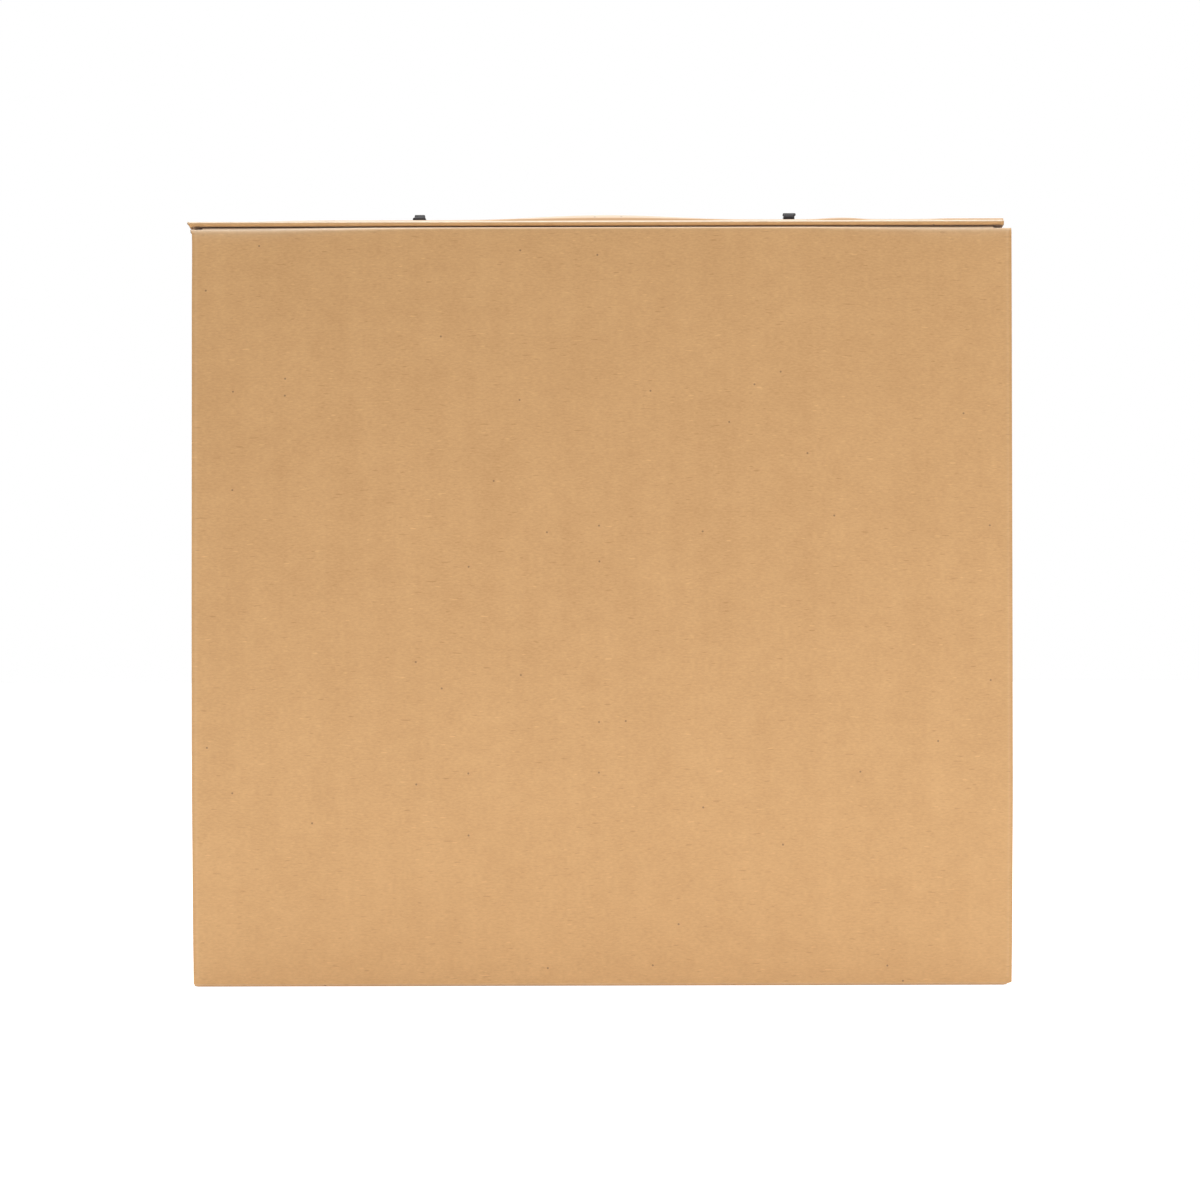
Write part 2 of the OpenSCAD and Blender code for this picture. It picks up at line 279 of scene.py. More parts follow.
# %% Section of the wrap
TAB, INNER_TOP, ROLL_LOW, SPINE, ROLL_HIGH, OUTER_TOP, BACK_FOLD, BACK_WALL, LOW_FOLD, BOTTOM = range(10)
roll_y = ROLL_FRONT + ROLL_R
under_stops = [LOCK_END - LEG_HALF_Y, LOCK_END + LEG_HALF_Y]
top_stops = [-roll_y - LEG_HALF_Y, -roll_y + LEG_HALF_Y, *np.linspace(0.5 * MM, 12 * MM, 16)]
back_stops = [TOP - FOLD - z for pair in lock_ranges(LOCK_Z, LOCK_HALF + LOCK_GAP) for z in pair]
back_stops += [TOP - FOLD - SIDE_TOP, TOP - FOLD - SLOT_LOW]
wrap_walk = walk(
    straight((TAB_END, UNDER), (LOCK_END, UNDER), (0, -1)),
    straight((LOCK_END, UNDER), (roll_y, UNDER), (0, -1), 12, under_stops),
    bend((roll_y, UNDER + ROLL_R), ROLL_R, 270, 180),
    straight((ROLL_FRONT, UNDER + ROLL_R), (ROLL_FRONT, TOP - ROLL_R), (-1, 0)),
    bend((roll_y, TOP - ROLL_R), ROLL_R, 180, 90),
    straight((roll_y, TOP), (BACK - FOLD, TOP), (0, 1), 60, top_stops),
    bend((BACK - FOLD, TOP - FOLD), FOLD, 90, 0, 10),
    straight((BACK, TOP - FOLD), (BACK, FOLD), (1, 0), 60, back_stops),
    bend((BACK - FOLD, FOLD), FOLD, 0, -90),
    straight((BACK - FOLD, 0), (CREASE_Y, 0), (0, -1), 16),
)
print("the wrap's section is", round(wrap_walk[3][-1] / MM), "mm long")

# %% Lines across the wrap and cells that are board
CUT_BAND = 0.8 * MM


def wrap_lines():
    """An even spread of lines across the case, and one at each edge, seam, slot and tab."""
    edges = [s * at for s in (-1, 1) for at in (SEAM, SIDE, TOP_REACH - CUT_BAND, *SIDE_SLOT)]
    for half in (LOCK_HALF, LOCK_HALF + LOCK_GAP):
        edges += [x for pair in lock_ranges(0, half) for x in pair]
    edges += [x for slot in leg_slots for x in slot]
    return np.unique(np.round(np.concatenate([np.linspace(-TOP_REACH, TOP_REACH, 120), edges]), 9))


def wrap_cells(across, y, z, label):
    """Marks the cells that are board: the strip narrows at the seams and has slots for legs and tabs."""
    mid_u, mid_y, mid_z = [(v[:-1] + v[1:]) / 2 for v in (across, y, z)]
    reach = np.where(label <= BACK_FOLD, TOP_REACH, np.where(mid_z > SIDE_TOP, SIDE, SEAM))
    keep = np.abs(mid_u)[:, None] < reach[None, :]
    keep &= (label != TAB) | within(mid_u, lock_ranges(0, LOCK_HALF))[:, None]
    leg_rows = np.isin(label, (INNER_TOP, OUTER_TOP)) & (np.abs(mid_y) < LEG_HALF_Y)
    keep &= ~(leg_rows[None, :] & within(mid_u, leg_slots)[:, None])
    slot_rows = np.isin(label, (BACK_WALL, BACK_FOLD)) & within(mid_z, [(SLOT_LOW, SLOT_HIGH)])
    keep &= ~(slot_rows[None, :] & within(mid_u, lock_ranges(0, LOCK_HALF + LOCK_GAP))[:, None])
    side_rows = (label == BACK_WALL) & within(mid_z, lock_ranges(LOCK_Z, LOCK_HALF + LOCK_GAP))
    keep &= ~(side_rows[None, :] & within(np.abs(mid_u), [SIDE_SLOT])[:, None])
    return keep


# %% Build the wrap
ROLL_BACK, ROLL_PRESS = 1.2 * MM, 0.2
FOLD_PALE = 0.2


def make_wrap():
    """Section (y, z) carried along x; the sprung layer and the slip are added to the flat fold."""
    points, outs, label, along = wrap_walk
    across = wrap_lines()
    station = np.append(label, label[-1])
    y, z = points[:, 0], points[:, 1]
    on_top = station <= BACK_FOLD
    front = smooth((roll_y + 14 * MM - y) / (12 * MM)) * on_top
    x = across[:, None] + np.where(on_top, slip(across[:, None], y), 0)
    spring = rise(x, y - roll_y) * (station == OUTER_TOP)
    crushed = smooth((-SIDE - x) / (2.3 * MM)) * smooth((-20 * MM - y) / (20 * MM))
    crushed = crushed * (station <= ROLL_HIGH) * np.clip((TOP - z) / (TOP - UNDER), 0, 1)
    x = x + 1.4 * MM * crushed
    drop = 0.8 * MM * crushed
    bow = np.sin(np.pi * (across / SIDE + 1) / 2)[:, None] * np.sin(np.pi * z / TOP)
    sag = 0.35 * MM * bow * (station == BACK_WALL)

    def folded(yz):
        """Sets the front roll back and presses it thinner, then adds the sag and the spring."""
        set_back = yz[:, 0] + ROLL_BACK * front
        pressed = TOP - (TOP - yz[:, 1]) * (1 - ROLL_PRESS * front)
        return np.stack([x, set_back - sag, pressed + spring - drop], -1)

    # Painted highlights and painted shade on the roll and the top wall, a little paler along the back
    # folds, and darker within a millimetre of the top wall's cut ends.
    painted_light_and_tone = top_painted_light(x, y - roll_y, outs[:, 1]) * (station >= ROLL_LOW) * (station <= OUTER_TOP)
    painted_light_and_tone = painted_light_and_tone + FOLD_PALE * np.isin(station, (BACK_FOLD, LOW_FOLD))
    end = TOP_REACH - np.abs(across)[:, None]
    painted_light_and_tone = painted_light_and_tone - 0.3 * (1 - smooth(end / (0.9 * MM))) * (station <= OUTER_TOP)
    keep = wrap_cells(across, y, z, label)
    return board_mesh("case_wrap", folded(points), folded(points - BOARD * outs), keep, across, along, painted_light_and_tone)


case_wrap = make_wrap()

# %% [markdown]
# ## The side walls
#
# Each side wall is a strip that starts inside the case, rolls round the front edge, runs back
# along the outside and ends in the crease at the back corner. Its section lies flat in plan, so
# the same builder carries it upwards. The left wall is the right one mirrored, with the order of
# its points turned round so that its faces still point outwards.

# %% Build the side walls
SIDE_TAB, SIDE_INNER, INNER_ROLL, OUTER_ROLL, SIDE_OUTER, CORNER = range(6)
SHEET_STEP = 0.4


def make_side(name, sign):
    """Plan section (x, y) carried along z: the outer layer swells a little, and the front top dips."""
    roll = (SIDE - SIDE_IN) / 2
    corner = SIDE - SEAM
    points, outs, label, around = walk(
        straight((SIDE_IN, TAB_END), (SIDE_IN, LOCK_END), (-1, 0)),
        straight((SIDE_IN, LOCK_END), (SIDE_IN, RIM + roll), (-1, 0), 12),
        bend((SIDE_IN + roll, RIM + roll), roll, 180, 280, 9),
        bend((SIDE_IN + roll, RIM + roll), roll, 280, 360, 7),
        straight((SIDE, RIM + roll), (SIDE, BACK - corner), (1, 0), 30),
        bend((SEAM, BACK - corner), corner, 0, 90, 8),
    )
    station = np.append(label, label[-1])
    floor_gap = BOARD + PLY_GAP
    levels = [np.linspace(0.1 * MM, SIDE_TOP, 50), [floor_gap], *lock_ranges(LOCK_Z, LOCK_HALF)]
    z = np.unique(np.round(np.concatenate(levels), 9))
    ones = np.ones((len(points), len(z)))
    depth = np.clip((points[:, 1] - RIM) / (BACK - RIM), 0, 1)
    outer_bow = ((station == SIDE_OUTER) * np.sin(np.pi * depth))[:, None]
    swell = 0.5 * MM * outer_bow * np.sin(np.pi * z / SIDE_TOP)[None, :]
    near_front = smooth((RIM + 10 * MM - points[:, 1]) / (7 * MM))[:, None]
    dip = 1.4 * MM * near_front * smooth((z - SIDE_TOP + 9 * MM) / (9 * MM))[None, :]
    painted_light_and_tone = FOLD_PALE * np.isin(station, (INNER_ROLL, OUTER_ROLL, CORNER))[:, None] * ones

    def grid(p):
        """Carries the plan points up through all levels."""
        return np.stack([sign * (p[:, :1] * ones + swell), p[:, 1:] * ones, z[None, :] * ones - dip], -1)

    mid_z = (z[:-1] + z[1:]) / 2
    keep = (label != SIDE_TAB)[:, None] | within(mid_z, lock_ranges(LOCK_Z, LOCK_HALF))[None, :]
    keep &= (label >= OUTER_ROLL)[:, None] | (mid_z > floor_gap)[None, :]
    outer_grid, inner_grid = grid(points), grid(points - BOARD * outs)
    if sign < 0:
        outer_grid, inner_grid, keep, painted_light_and_tone = outer_grid[::-1], inner_grid[::-1], keep[::-1], painted_light_and_tone[::-1]
        around = (around[-1] - around)[::-1]
    return board_mesh(name, outer_grid, inner_grid, keep, around + (2 + sign) * SHEET_STEP, z, painted_light_and_tone)


side_walls = [make_side("side_wall_left", -1), make_side("side_wall_right", 1)]

# %% [markdown]
# ## The lid and its crease
#
# The lid is the next stretch of the same sheet: a tall panel, a rounded fold and a tuck flap. A
# real panel is never quite straight, so its edges bow out by a few tenths of a millimetre, its
# left top corner flares, and the fold is tight in the middle and softer towards the ends. The
# crease at the bottom is a short strip of its own, built at rest.

# %% Edges and painted light of the lid
LID_LEFT, LID_RIGHT = lid_low.x, lid_high.x
LEFT_AT = (0, 0.05, 0.25, 0.5, 0.75, 0.9, 1)
LEFT_BOW = (0.18, -0.07, -0.42, -0.32, -0.07, 0.05, 0.3)
RIGHT_AT = (0, 0.05, 0.25, 0.9, 1)
RIGHT_BOW = (-0.75, -0.48, -0.02, -0.02, -0.05)
BOW_FADE = 40 * MM


def lid_edges(z):
    """How far the panel's left and right edges stand from straight, at height z.

    Each edge has a bow, read off between a few heights as shares of the lid's height. The left top
    corner flares outwards, more and more steeply towards the fold, and its last stretch is pulled out.
    """
    below = LID_TOP - z
    pulled = 0.6 * (1 - smooth((below - 0.9 * MM) / (1.6 * MM)))
    flare = 0.35 * np.exp(-below / (3 * MM))
    left = np.interp(z / LID_TOP, LEFT_AT, LEFT_BOW) - pulled - flare
    right = np.interp(z / LID_TOP, RIGHT_AT, RIGHT_BOW)
    return left * MM, right * MM


def lid_x(across, z):
    """Places the lines across the lid between its bowed edges; the bow fades away from each edge."""
    left, right = lid_edges(z)
    near_left = smooth(1 - (across - LID_LEFT) / BOW_FADE)[:, None]
    near_right = smooth(1 - (LID_RIGHT - across) / BOW_FADE)[:, None]
    return across[:, None] + near_left * left + near_right * right


def lid_painted_light_and_edges(x, below, edge, radius):
    """Painted highlight along the fold, most at the ends, and darker right at the cut edges."""
    ends = 0.45 + 0.5 * smooth((-x - 30 * MM) / (90 * MM)) + 0.25 * smooth((x - 90 * MM) / (60 * MM))
    fold = ends * np.exp(-np.clip(below, 0, None) / (0.47 * radius - 0.2 * MM))
    # Darker right at the cut edges, and a little paler just inside them.
    pressed = 0.12 * (1 - smooth((edge - 0.4 * MM) / (0.8 * MM)))
    beside = 0.06 * hump(edge, 1 * MM, 1.6 * MM, 2.4 * MM)
    return fold + beside - pressed


# %% Section of the lid
FLAP_END = SIDE_IN - 1 * MM
FLAP_TIP = lid_high.y
FLAP_SLOPE = 4.4
FLAP_CORNER = 9 * MM


def lid_section(radius):
    """Rows (y, z) up the panel, round the fold and along the flap for each radius, and ways out."""
    top_rows = 1 - 0.5 * MM * np.arange(1, 8) / LID_TOP
    up = np.sort(np.concatenate([np.linspace(0, 1, 64), top_rows]))[None, :]
    panel_z = CREASE_Z + (LID_TOP - radius - CREASE_Z) * up
    panel = np.stack([np.full_like(panel_z, FRONT), panel_z], -1)
    panel_out = np.stack([-np.ones_like(panel_z), np.zeros_like(panel_z)], -1)

    turn = np.radians(np.linspace(180, 90 - FLAP_SLOPE, 14))[1:][None, :]
    out = np.stack([np.cos(turn), np.sin(turn)], -1) * np.ones_like(radius)[..., None]
    centre = np.stack([FRONT + radius, LID_TOP - radius], -1)
    fold = centre + radius[..., None] * out

    slope = math.radians(FLAP_SLOPE)
    start = fold[:, -1:, :]
    length = (FLAP_TIP - start[..., 0]) / math.cos(slope)
    down = np.linspace(0, 1, 24)[1:][None, :] ** 0.9
    flap = start + (length * down)[..., None] * np.array([math.cos(slope), -math.sin(slope)])
    flap_out = np.tile(np.array([math.sin(slope), math.cos(slope)]), (*flap.shape[:2], 1))
    return np.concatenate([panel, fold, flap], 1), np.concatenate([panel_out, out, flap_out], 1)


# %% Build the lid
def make_lid():
    """Lines across the lid, each with its own fold radius; the panel hollows by a low wave."""
    margin = 0.4 * MM * np.arange(1, 7)
    stops = [-FLAP_END, FLAP_END, *(LID_LEFT + margin), *(LID_RIGHT - margin)]
    across = np.unique(np.round(np.concatenate([np.linspace(LID_LEFT, LID_RIGHT, 130), stops]), 9))
    radius = (1.5 + 1.7 * smooth((np.abs(across) / SIDE - 0.4) / 0.5))[:, None] * MM
    yz, outs = lid_section(radius)
    inner = yz - BOARD * outs
    wave = 0.16 * MM * (1 - np.cos(2 * np.pi * yz[..., 1] / LID_TOP)) / 2
    wave = wave * (0.5 + 0.5 * np.cos(np.pi * across / SIDE))[:, None]

    behind = yz[..., 0] - (FRONT + BOARD)
    to_tip = np.clip((FLAP_TIP - yz[..., 0]) / FLAP_CORNER, 0, 1)
    round_in = FLAP_CORNER * (1 - np.sqrt(1 - (1 - to_tip) ** 2))
    x = lid_x(across, yz[..., 1]) * (1 - round_in / FLAP_END * (behind > 0))
    outer_grid = np.stack([x, yz[..., 0] + wave, yz[..., 1]], -1)
    inner_grid = np.stack([x, inner[..., 0] + wave, inner[..., 1]], -1)

    mid_u = (across[:-1] + across[1:]) / 2
    mid_behind = (behind[:-1, :-1] + behind[1:, 1:]) / 2
    keep = (np.abs(mid_u) < FLAP_END)[:, None] | (mid_behind < 0)
    steps = np.linalg.norm(np.diff(yz[len(across) // 2], axis=0), axis=1)
    along = np.concatenate([[0], np.cumsum(steps)]) + CREASE_Z
    edge = np.minimum(across - LID_LEFT, LID_RIGHT - across)[:, None]
    # Painted highlight along the fold, fading out on the flap, and a darker tone at the cut edges.
    painted_light_and_tone = lid_painted_light_and_edges(across[:, None], LID_TOP - yz[..., 1], edge, radius)
    painted_light_and_tone = painted_light_and_tone * (1 - smooth((yz[..., 0] - FRONT - radius) / (3 * MM)))
    return board_mesh("lid_board", outer_grid, inner_grid, keep, across, along, painted_light_and_tone)


lid_board = make_lid()

# %% Build the crease
CREASE_R = 1.35 * MM


def make_crease():
    """A short section round the hinge line, its ends as wide as the bottom and as the lid."""
    points, outs, label, along = walk(
        straight((CREASE_Y, 0), (FRONT + CREASE_R, 0), (0, -1), 5),
        bend((FRONT + CREASE_R, CREASE_R), CREASE_R, 270, 180, 9),
        straight((FRONT, CREASE_R), (FRONT, CREASE_Z), (-1, 0), 5),
    )
    z = points[:, 1]
    share = np.linspace(0, 1, 130)
    upward = smooth(z / (1.4 * MM))[None, :]
    lid_line = lid_x(LID_LEFT + (LID_RIGHT - LID_LEFT) * share, np.full(len(points), CREASE_Z))
    bottom_line = (-SEAM + 2 * SEAM * share)[:, None]
    x = bottom_line + (lid_line - bottom_line) * upward

    def grid(p):
        """Carries the section's points along the lines between the two ends."""
        return np.stack([x, p[:, 0] * np.ones_like(x), p[:, 1] * np.ones_like(x)], -1)

    keep = np.ones((len(share) - 1, len(label)), bool)
    # A painted highlight a little above the floor and a painted contact shadow right at the floor.
    painted_light_and_tone = 0.25 * hump(z, 0.3 * MM, 0.7 * MM, 1.3 * MM) - 0.5 * (1 - smooth(z / (0.4 * MM)))
    return board_mesh("lid_crease", grid(points), grid(points - BOARD * outs), keep,
                      share * 2 * SIDE, along - along[-1], painted_light_and_tone)


lid_crease = make_crease()

# %% [markdown]
# ## The handle
#
# The handle is one moulding: two arms, two bends and a thicker grip. Its outline in plan has an
# outer and an inner curve, so a ring of points is stretched between matching points of the two
# curves, and the thickness changes from arm to grip. A superellipse gives the rings the soft
# square section of a moulded bar.

# %% Surfaces made of rings
def ring_mesh(rings):
    """Joins (n, m, 3) rings of points into a closed skin, with a fan of triangles at each end."""
    n, m = rings.shape[:2]
    index = np.arange(n * m).reshape(n, m)
    following = np.roll(index, -1, axis=1)
    quads = np.stack([index[:-1], following[:-1], following[1:], index[1:]], -1).reshape(-1, 4)
    poles = np.array([rings[0].mean(0), rings[-1].mean(0)])
    first = np.stack([following[0], index[0], np.full(m, n * m)], -1)
    last = np.stack([index[-1], following[-1], np.full(m, n * m + 1)], -1)
    points = np.concatenate([rings.reshape(-1, 3), poles])
    return points, quads.tolist() + first.tolist() + last.tolist()


def joined(name, parts, sharp=40):
    """One mesh from several closed skins, each given as its points and its faces."""
    points, faces, start = [], [], 0
    for p, f in parts:
        points.append(p)
        faces += [[i + start for i in face] for face in f]
        start += len(p)
    mesh = bpy.data.meshes.new(name)
    mesh.from_pydata(np.concatenate(points).tolist(), [], faces)
    return finish_mesh(name, mesh, sharp)


def round_square(m, power):
    """Unit superellipse: the cosine and sine of each angle, each to the power 2 / power."""
    a = np.arange(m) * 2 * np.pi / m
    c, s = np.cos(a), np.sin(a)
    return np.stack([np.sign(c) * np.abs(c) ** (2 / power), np.sign(s) * np.abs(s) ** (2 / power)], -1)


# %% Outline of the handle
EAR_W = 4.6 * MM
PIN_R = 1.3 * MM
ARM_W, ARM_T = 4 * MM, 3.4 * MM
GRIP_W, GRIP_T = 13 * MM, 5 * MM
REACH, LOOP_R, BEND_R = 46 * MM, 6 * MM, 12 * MM
LIE_ANGLE = math.radians(2)
HUB_RINGS, ARM_RINGS, BEND_RINGS, GRIP_RINGS = 9, 16, 16, 14
arm_left = clip_x[0] + EAR_W / 2 + 0.3 * MM
arm_right = clip_x[1] - EAR_W / 2 - 0.3 * MM
grip_middle = (arm_left + arm_right) / 2


def half_outline(offset, radius):
    """One arm, one bend and half the grip, for the curve that lies offset inside the outer one."""
    side = arm_left + offset
    reach = REACH - (GRIP_W if offset else 0)
    hub_turn = np.linspace(0.05, np.pi / 2, HUB_RINGS)
    turn = np.radians(np.linspace(180, 90, BEND_RINGS))[1:]
    hub = np.stack([np.full(HUB_RINGS, side), -ARM_T / 2 * np.cos(hub_turn)], -1)
    arm = np.stack([np.full(ARM_RINGS, side), np.linspace(0, reach - radius, ARM_RINGS)], -1)[1:]
    corner = np.stack([side + radius + radius * np.cos(turn), reach - radius + radius * np.sin(turn)], -1)
    grip_x = np.linspace(side + radius, grip_middle, GRIP_RINGS)
    grip = np.stack([grip_x, np.full(GRIP_RINGS, reach)], -1)[1:]
    return np.concatenate([hub, arm, corner, grip])


def mirrored(curve):
    """The half curve and its mirror image about the middle of the grip, in one walk."""
    return np.concatenate([curve, (curve * [-1, 1] + [2 * grip_middle, 0])[::-1][1:]])


# %% Build the handle
def pin(x0, x1):
    """A round pin along x, its two ends chamfered by a fifth of its radius."""
    chamfer = PIN_R / 5
    x = np.array([x0, x0 + chamfer, (x0 + x1) / 2, x1 - chamfer, x1])
    r = PIN_R * np.array([0.8, 1, 1, 1, 0.8])
    circle = round_square(40, 2)
    rings = np.stack([x[:, None] * np.ones(40), r[:, None] * circle[:, 0], r[:, None] * circle[:, 1]], -1)
    return ring_mesh(rings[:, ::-1])


def make_handle():
    """Rings between the outer and inner curves, as thick as the arm, then as the grip, tilted to lie."""
    outer, inner = half_outline(0, BEND_R), half_outline(ARM_W, LOOP_R)
    depth = inner[:, 1]
    in_bend = (np.arange(len(outer)) - (HUB_RINGS + ARM_RINGS - 1)) / BEND_RINGS
    hub_round = np.where(depth < 0, np.sqrt(np.clip(1 - (depth / (ARM_T / 2)) ** 2, 0.003, 1)), 1)
    thick = (ARM_T + (GRIP_T - ARM_T) * smooth(in_bend)) * hub_round
    thick = np.concatenate([thick, thick[::-1][1:]])
    outer, inner = mirrored(outer), mirrored(inner)
    square = round_square(40, 3.4)
    centre, half = (outer + inner) / 2, (inner - outer) / 2
    plan = centre[:, None, :] + half[:, None, :] * square[None, :, :1]
    height = thick[:, None] / 2 * square[None, :, 1]
    rings = np.stack([plan[..., 0], plan[..., 1], height], -1)
    parts = [ring_mesh(rings[:, ::-1]),
             pin(clip_x[0] - EAR_W / 2, arm_left + ARM_W / 2),
             pin(arm_right - ARM_W / 2, clip_x[1] + EAR_W / 2)]
    c, s = math.cos(LIE_ANGLE), math.sin(LIE_ANGLE)
    tilt = np.array([[1, 0, 0], [0, c, -s], [0, s, c]])
    place = np.array([0, pivot.y, pivot.z])
    return joined("carry_handle", [(p @ tilt.T + place, f) for p, f in parts])


carry_handle = make_handle()

# %% [markdown]
# ## The clips
#
# The photograph shows only the top two millimetres of each clip: a cap, a narrow groove and the
# start of the body under it. The ear is a ring-shaped surface: every point of its outline is
# joined to the bore by a straight row across each face, so the bore stays a real hole. Below the
# ear come a flange on the board and a split leg with barbs, which snaps through the top wall.

# %% Sizes of the clips
EAR_R = 3.6 * MM
EAR_SOFT, EAR_EDGE = 0.35 * MM, 0.1 * MM
BORE_R = PIN_R + 0.08 * MM
GROOVE_IN, GROOVE_H, CAP_H = 0.25 * MM, 0.5 * MM, 1 * MM
FLANGE = (6.6 * MM, 15 * MM, 0.8 * MM)
FLANGE_SOFT = 0.25 * MM
LEG_W, LEG_L = 2.6 * MM, 9 * MM
BARB_W, BARB_H, SPLIT = 5.2 * MM, 3.2 * MM, 0.8 * MM
EAR_FOOT = TOP + 0.2 * MM
CAP_HALF = {"clip_left": (2.15 * MM, 2.15 * MM), "clip_right": (2.45 * MM, 2.9 * MM)}
BODY_HALF = {"clip_left": (2.85 * MM, 2.5 * MM), "clip_right": (2.3 * MM, 2.3 * MM)}


# %% The ear and its bore
def ear_outline(ear_top, inset):
    """Outline in y and z, drawn in by inset: up one side, over the round top, down and back below."""
    r = EAR_R - inset
    arc = np.radians(np.linspace(180, 0, 48))
    low = np.linspace(EAR_FOOT, ear_top - EAR_R, 14)[:-1]
    bottom = np.linspace(-EAR_R, EAR_R, 12)[1:-1]
    y = [np.full(len(low), -r), r * np.cos(arc), np.full(len(low), r), -bottom]
    z = [low, ear_top - EAR_R + r * np.sin(arc), low[::-1], np.full(len(bottom), low[0])]
    return np.stack([np.concatenate(y), np.concatenate(z)], -1)


def ear_rows(ear_top):
    """Loops (y, z) and their x: from the bore out over one face, the rim, the other face and back."""
    centre = np.array([pivot.y, pivot.z])
    away = ear_outline(ear_top, 0) - centre
    bore = centre + BORE_R * away / np.linalg.norm(away, axis=1)[:, None]
    face_edge = ear_outline(ear_top, EAR_SOFT)
    rows = [bore + (face_edge - bore) * t for t in np.linspace(0, 1, 26)]
    places = [EAR_W / 2] * len(rows) + [EAR_W / 2 - EAR_EDGE, EAR_W / 2 - EAR_SOFT]
    rows += [ear_outline(ear_top, EAR_EDGE), ear_outline(ear_top, 0)]
    return np.array(rows + rows[::-1] + [bore]), np.array([-p for p in places] + places[::-1] + [0])


def ear(x, ear_top, cap, body):
    """Closed ring surface whose width follows the height: the body, the groove, then the cap.

    The half widths of the cap and of the body below it are given for the left and right face.
    """
    yz, places = ear_rows(ear_top)
    side = places[:, None] * np.ones(yz.shape[1])
    up = (yz[..., 1] - (ear_top - CAP_H - GROOVE_H / 2)) / GROOVE_H
    face = (side >= 0).astype(int)
    lower, upper = np.array(body)[face] / (EAR_W / 2), np.array(cap)[face] / (EAR_W / 2)
    side = side * (lower + (upper - lower) * smooth(0.5 + 2 * up))
    side = side - np.sign(side) * GROOVE_IN * smooth(1.5 - 2 * np.abs(up))
    points = np.stack([x + side, yz[..., 0], yz[..., 1]], -1)
    index = np.arange(side.size).reshape(side.shape)
    a, b = np.roll(index, -1, axis=0), np.roll(index, -1, axis=1)
    c = np.roll(a, -1, axis=1)
    return points.reshape(-1, 3), np.stack([index, b, c, a], -1).reshape(-1, 4).tolist()


# %% Build the clips
def plate(x, low, size, soft):
    """Rounded plate: rings of a superellipse, drawn in a little at the top and bottom edges."""
    z = np.array([0, soft, size[2] - soft, size[2] - 0.3 * soft, size[2]])
    draw = np.array([0, 0, 0, 0.35 * soft, soft])
    shape = round_square(64, 6)
    rings = np.stack([x + (size[0] / 2 - draw)[:, None] * shape[:, 0],
                      (size[1] / 2 - draw)[:, None] * shape[:, 1],
                      (low + z)[:, None] * np.ones(64)], -1)
    return ring_mesh(rings)


def prong(x, sign):
    """Half of the barbed leg: its outline in x and z, given a length along y and closed flat."""
    barb_z = UNDER - PLY_GAP
    worn_corner = 0.15 * MM
    outline = np.array([[SPLIT / 2, barb_z - BARB_H], [LEG_W / 2, barb_z - BARB_H],
                        [BARB_W / 2, barb_z - worn_corner], [BARB_W / 2 - worn_corner, barb_z],
                        [LEG_W / 2, barb_z], [LEG_W / 2, EAR_FOOT], [SPLIT / 2, EAR_FOOT]])
    y = np.array([-1, -0.985, 0.985, 1]) * LEG_L / 2
    middle = outline.mean(0)
    scale = np.array([0.9, 1, 1, 0.9])[:, None, None]
    flat = middle + (outline - middle) * scale
    rings = np.stack([x + sign * flat[..., 0], y[:, None] * np.ones(len(outline)), flat[..., 1]], -1)
    return ring_mesh(rings[:, ::-1] if sign > 0 else rings)


def make_clip(name):
    """Ear, flange and the two halves of the leg, at the middle of the CAD clip's box."""
    low, high = clip_boxes[name]
    x = (low.x + high.x) / 2
    parts = [ear(x, high.z, CAP_HALF[name], BODY_HALF[name]), plate(x, TOP, FLANGE, FLANGE_SOFT)]
    parts += [prong(x, 1), prong(x, -1)]
    return joined(name.replace("clip", "handle_clip"), parts)


clips = {name: make_clip(name) for name in clip_boxes}

# %% [markdown]
# ## Shader maths written as Python
#
# A colour that varies over paper is a sum of several noises. Written as nodes by hand this is hard
# to read, so a small class wraps a socket and lets it be added and multiplied like a number. Each
# operation adds one Math node.

# %% A socket that does sums
class Value:
    """Wraps an output socket, so that arithmetic on it builds Math nodes in its tree."""

    def __init__(self, tree, socket):
        self.tree = tree
        self.socket = socket

    def maths(self, operation, *others):
        """One Math node with this value as its first input and the others after it."""
        return node(self.tree, "ShaderNodeMath", {"operation": operation}, dict(enumerate((self, *others))))

    def __add__(self, other):
        return self.maths("ADD", other)

    def __mul__(self, other):
        return self.maths("MULTIPLY", other)

    def __sub__(self, other):
        return self.maths("SUBTRACT", other)

    def __rsub__(self, other):
        return self.maths("MULTIPLY", -1).maths("ADD", other)

    __radd__, __rmul__ = __add__, __mul__

    def above(self, low, high):
        """0 below low, 1 above high and a smooth step between."""
        return node(self.tree, "ShaderNodeMapRange", {"interpolation_type": "SMOOTHSTEP"},
                    {"Value": self, "From Min": low, "From Max": high})

    def twin(self, output):
        """Another output of the same node."""
        return Value(self.tree, self.socket.node.outputs[output])


def node(tree, kind, settings=None, inputs=None, output=0):
    """Adds a node, sets its settings, then its inputs as links or values, and wraps an output."""
    made = tree.nodes.new(kind)
    for key, value in (settings or {}).items():
        setattr(made, key, value)
    for key, value in (inputs or {}).items():
        if isinstance(value, Value):
            tree.links.new(value.socket, made.inputs[key])
        else:
            made.inputs[key].default_value = value
    return Value(tree, made.outputs[output])


# %% Small helpers for materials
def colours(tree, amount, low, high):
    """Mixes from the low to the high colour by amount."""
    ends = [end if isinstance(end, Value) else (*end, 1) for end in (low, high)]
    return node(tree, "ShaderNodeMix", {"data_type": "RGBA"}, {"Factor": amount, 6: ends[0], 7: ends[1]}, 2)


def stretched(tree, vector, scale):
    """The vector with each of its parts scaled."""
    return node(tree, "ShaderNodeVectorMath", {"operation": "MULTIPLY"}, {0: vector, 1: scale})


